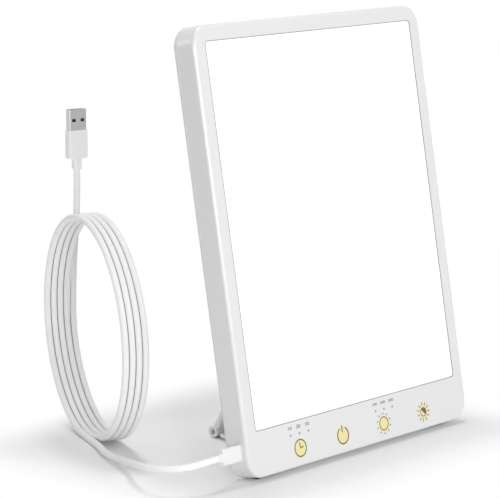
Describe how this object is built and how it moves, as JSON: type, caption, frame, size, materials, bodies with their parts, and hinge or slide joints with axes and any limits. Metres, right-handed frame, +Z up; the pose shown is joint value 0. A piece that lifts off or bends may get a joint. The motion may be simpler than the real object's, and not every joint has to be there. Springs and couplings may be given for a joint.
{
  "type": "light therapy lamp",
  "caption": "Slim rounded light therapy panel leaning back on a fold-out stand, with touch controls under the screen and a coiled power cord.",
  "frame": {"origin": "middle of the underside of the stand's rubber pad, on the table", "axes": "+Z up, -Y towards the person facing the screen, +X to that person's right"},
  "size_m": [0.2465, 0.2043, 0.2518],
  "materials": {
    "case_white": "satin white moulding",
    "cover_white": "matte white moulding",
    "stand_white": "satin white moulding",
    "screen_glow": "opal diffuser, lit",
    "clear_acrylic": "clear light guide",
    "reflector_white": "white reflector film",
    "board_white": "white circuit board",
    "board_green": "green circuit board",
    "led_yellow": "phosphor gel",
    "plate_steel": "zinc-coated sheet",
    "screw_steel": "plated",
    "pin_steel": "plain",
    "plated_steel": "nickel plated sheet",
    "brass_parts": "plain",
    "contact_brass": "gold plated",
    "component_black": "moulded",
    "wire_grey": "insulation",
    "symbol_yellow": "pale yellow inlay",
    "indicator_grey": "light pipe",
    "foot_rubber": "matte",
    "pad_rubber": "matte grey",
    "cord_white": "smooth white jacket"
  },
  "bodies": {
    "lamp": {"front_bezel": "case_white", "rear_cover": "cover_white", "case_screws": "screw_steel", "diffuser_panel": "screen_glow", "light_guide_plate": "clear_acrylic", "reflector_sheet": "reflector_white", "led_strip_left": "board_white", "led_strip_right": "board_white", "led_packages": "led_yellow", "back_plate": "plate_steel", "plate_screws": "screw_steel", "board_standoffs": "brass_parts", "driver_board": "board_green", "board_components": "component_black", "touch_board": "board_green", "touch_components": "component_black", "ribbon_cable": "wire_grey", "led_wires": "wire_grey", "timer_symbol": "symbol_yellow", "power_symbol": "symbol_yellow", "brightness_symbol": "symbol_yellow", "dimmer_symbol": "symbol_yellow", "indicator_lights": "indicator_grey", "port_board": "board_green", "usb_socket": "plated_steel", "socket_tongue": "component_black", "power_wires": "wire_grey", "lamp_plug_body": "cord_white", "lamp_plug_shell": "plated_steel", "lamp_plug_collar": "cord_white", "bottom_feet": "foot_rubber", "stand_bracket": "stand_white", "bracket_screws": "screw_steel", "base_hinge_pin": "pin_steel", "cord_lead": "cord_white", "cord_tail": "cord_white", "cord_coil": "cord_white", "usb_a_collar": "cord_white", "usb_a_overmold": "cord_white", "usb_a_shell": "plated_steel", "usb_a_insert": "component_black", "usb_a_contacts": "contact_brass"},
    "base": {"stand_base_plate": "stand_white", "base_rubber_pad": "pad_rubber", "strut_hinge_pin": "pin_steel"},
    "strut": {"stand_strut": "stand_white", "strut_tips": "pad_rubber"}
  },
  "joints": [
    {"name": "base_hinge", "type": "hinge", "parent": "lamp", "child": "base", "pos_m": [0, -0.03365, 0.0035], "axis": [1, 0, 0], "range_deg": [0, 80]},
    {"name": "strut_hinge", "type": "hinge", "parent": "base", "child": "strut", "pos_m": [0, 0.03365, 0.0035], "axis": [1, 0, 0], "range_deg": [-119.5, 0]}
  ],
  "couplings": [
    {"joint": "strut_hinge", "follows": "base_hinge", "ratio": -1.4927}
  ]
}
